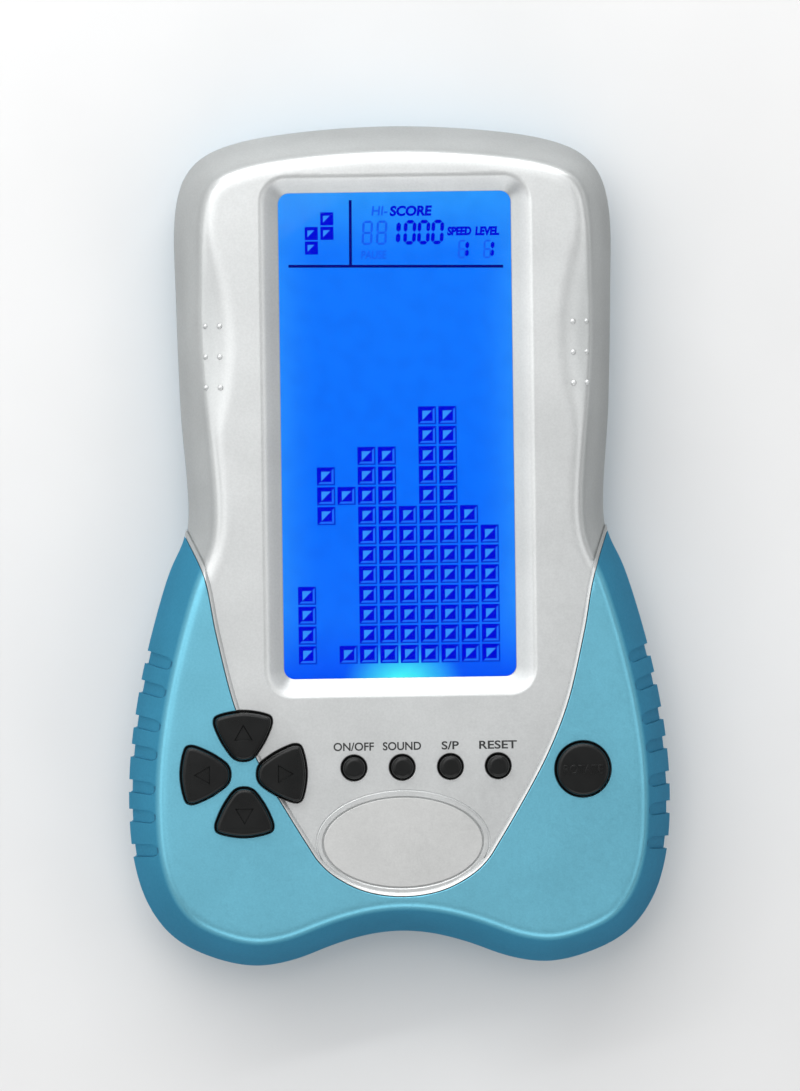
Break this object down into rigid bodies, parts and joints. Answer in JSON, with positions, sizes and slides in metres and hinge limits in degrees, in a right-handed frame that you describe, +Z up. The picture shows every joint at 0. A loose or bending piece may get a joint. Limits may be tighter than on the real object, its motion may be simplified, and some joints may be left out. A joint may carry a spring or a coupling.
{
  "type": "handheld lcd game",
  "caption": "Handheld block-stacking LCD game with a tall backlit screen, silver face, blue grip boot, black rubber keys and a battery door in the back.",
  "frame": {"origin": "centre of the bounding box's bottom face; the game lies on its back", "axes": "+X right across the screen, +Y toward the top edge of the game, +Z up out of the face"},
  "size_m": [0.114, 0.1759, 0.03],
  "materials": {
    "silver_shell": "satin silver metallic paint",
    "blue_shell": "satin blue metallic paint",
    "rear_shell": "satin moulded blue plastic",
    "badge": "plain satin silver plate",
    "key_rubber": "satin black rubber keys",
    "membrane": "grey silicone sheet",
    "clear_window": "clear polished acrylic",
    "lcd": "lit blue liquid crystal panel",
    "light_guide": "clear acrylic backlight sheet",
    "led": "light emitting diode body",
    "white_film": "white reflecting film",
    "black_plastic": "moulded black plastic",
    "elastomer": "striped conductive elastomer",
    "circuit_board": "green solder mask on fibreglass",
    "epoxy": "black epoxy over a bonded chip",
    "resistor": "tan lacquered resistor with bands",
    "capacitor": "blue shrink sleeve",
    "steel": "plated steel",
    "brass": "brass sheet",
    "ceramic": "silvered piezo ceramic",
    "battery_jacket": "plain printed battery jacket",
    "red_wire": "red insulation",
    "black_wire": "black insulation"
  },
  "bodies": {
    "casing": {"front_casing": "silver_shell", "grip_boot": "blue_shell", "rear_casing": "rear_shell", "oval_badge": "badge", "screen_lens": "clear_window", "lcd_panel": "lcd", "light_guide": "light_guide", "reflector_sheet": "white_film", "backlight_led": "led", "elastomer_connector": "elastomer", "lcd_holder_frame": "black_plastic", "dpad_membrane": "membrane", "rotate_membrane": "membrane", "function_membrane": "membrane", "main_board": "circuit_board", "chip_blob": "epoxy", "capacitor": "capacitor", "resistor_1": "resistor", "resistor_2": "resistor", "piezo_disc": "brass", "piezo_ceramic": "ceramic", "battery_1": "battery_jacket", "battery_spring_1": "steel", "battery_2": "battery_jacket", "battery_spring_2": "steel", "battery_3": "battery_jacket", "battery_spring_3": "steel", "contact_positive": "steel", "contact_negative": "steel", "contact_link_left": "steel", "contact_link_right": "steel", "case_screw_1": "steel", "case_screw_2": "steel", "case_screw_3": "steel", "case_screw_4": "steel", "case_screw_5": "steel", "case_screw_6": "steel", "board_screw_1": "steel", "board_screw_2": "steel", "board_screw_3": "steel", "board_screw_4": "steel", "battery_lead_red": "red_wire", "battery_lead_black": "black_wire", "buzzer_lead_red": "red_wire", "buzzer_lead_black": "black_wire"},
    "up_button": {"key_up": "key_rubber"},
    "left_button": {"key_left": "key_rubber"},
    "down_button": {"key_down": "key_rubber"},
    "right_button": {"key_right": "key_rubber"},
    "rotate_button": {"key_rotate": "key_rubber"},
    "on_off_button": {"key_on_off": "key_rubber"},
    "sound_button": {"key_sound": "key_rubber"},
    "start_pause_button": {"key_start_pause": "key_rubber"},
    "reset_button": {"key_reset": "key_rubber"},
    "door": {"battery_door": "rear_shell"}
  },
  "joints": [
    {"name": "press_up", "type": "slide", "parent": "casing", "child": "up_button", "axis": [0, 0, -1], "range_m": [0, 0.0012], "stiffness_N_per_m": 600, "deforming": ["dpad_membrane"]},
    {"name": "press_left", "type": "slide", "parent": "casing", "child": "left_button", "axis": [0, 0, -1], "range_m": [0, 0.0012], "stiffness_N_per_m": 600, "deforming": ["dpad_membrane"]},
    {"name": "press_down", "type": "slide", "parent": "casing", "child": "down_button", "axis": [0, 0, -1], "range_m": [0, 0.0012], "stiffness_N_per_m": 600, "deforming": ["dpad_membrane"]},
    {"name": "press_right", "type": "slide", "parent": "casing", "child": "right_button", "axis": [0, 0, -1], "range_m": [0, 0.0012], "stiffness_N_per_m": 600, "deforming": ["dpad_membrane"]},
    {"name": "press_rotate", "type": "slide", "parent": "casing", "child": "rotate_button", "axis": [0, 0, -1], "range_m": [0, 0.0012], "stiffness_N_per_m": 600, "deforming": ["rotate_membrane"]},
    {"name": "press_on_off", "type": "slide", "parent": "casing", "child": "on_off_button", "axis": [0, 0, -1], "range_m": [0, 0.0012], "stiffness_N_per_m": 600, "deforming": ["function_membrane"]},
    {"name": "press_sound", "type": "slide", "parent": "casing", "child": "sound_button", "axis": [0, 0, -1], "range_m": [0, 0.0012], "stiffness_N_per_m": 600, "deforming": ["function_membrane"]},
    {"name": "press_start_pause", "type": "slide", "parent": "casing", "child": "start_pause_button", "axis": [0, 0, -1], "range_m": [0, 0.0012], "stiffness_N_per_m": 600, "deforming": ["function_membrane"]},
    {"name": "press_reset", "type": "slide", "parent": "casing", "child": "reset_button", "axis": [0, 0, -1], "range_m": [0, 0.0012], "stiffness_N_per_m": 600, "deforming": ["function_membrane"]},
    {"name": "open_battery_door", "type": "hinge", "parent": "casing", "child": "door", "pos_m": [0, -0.073, 0.0002], "axis": [-1, 0, 0], "range_deg": [0, 75]}
  ]
}
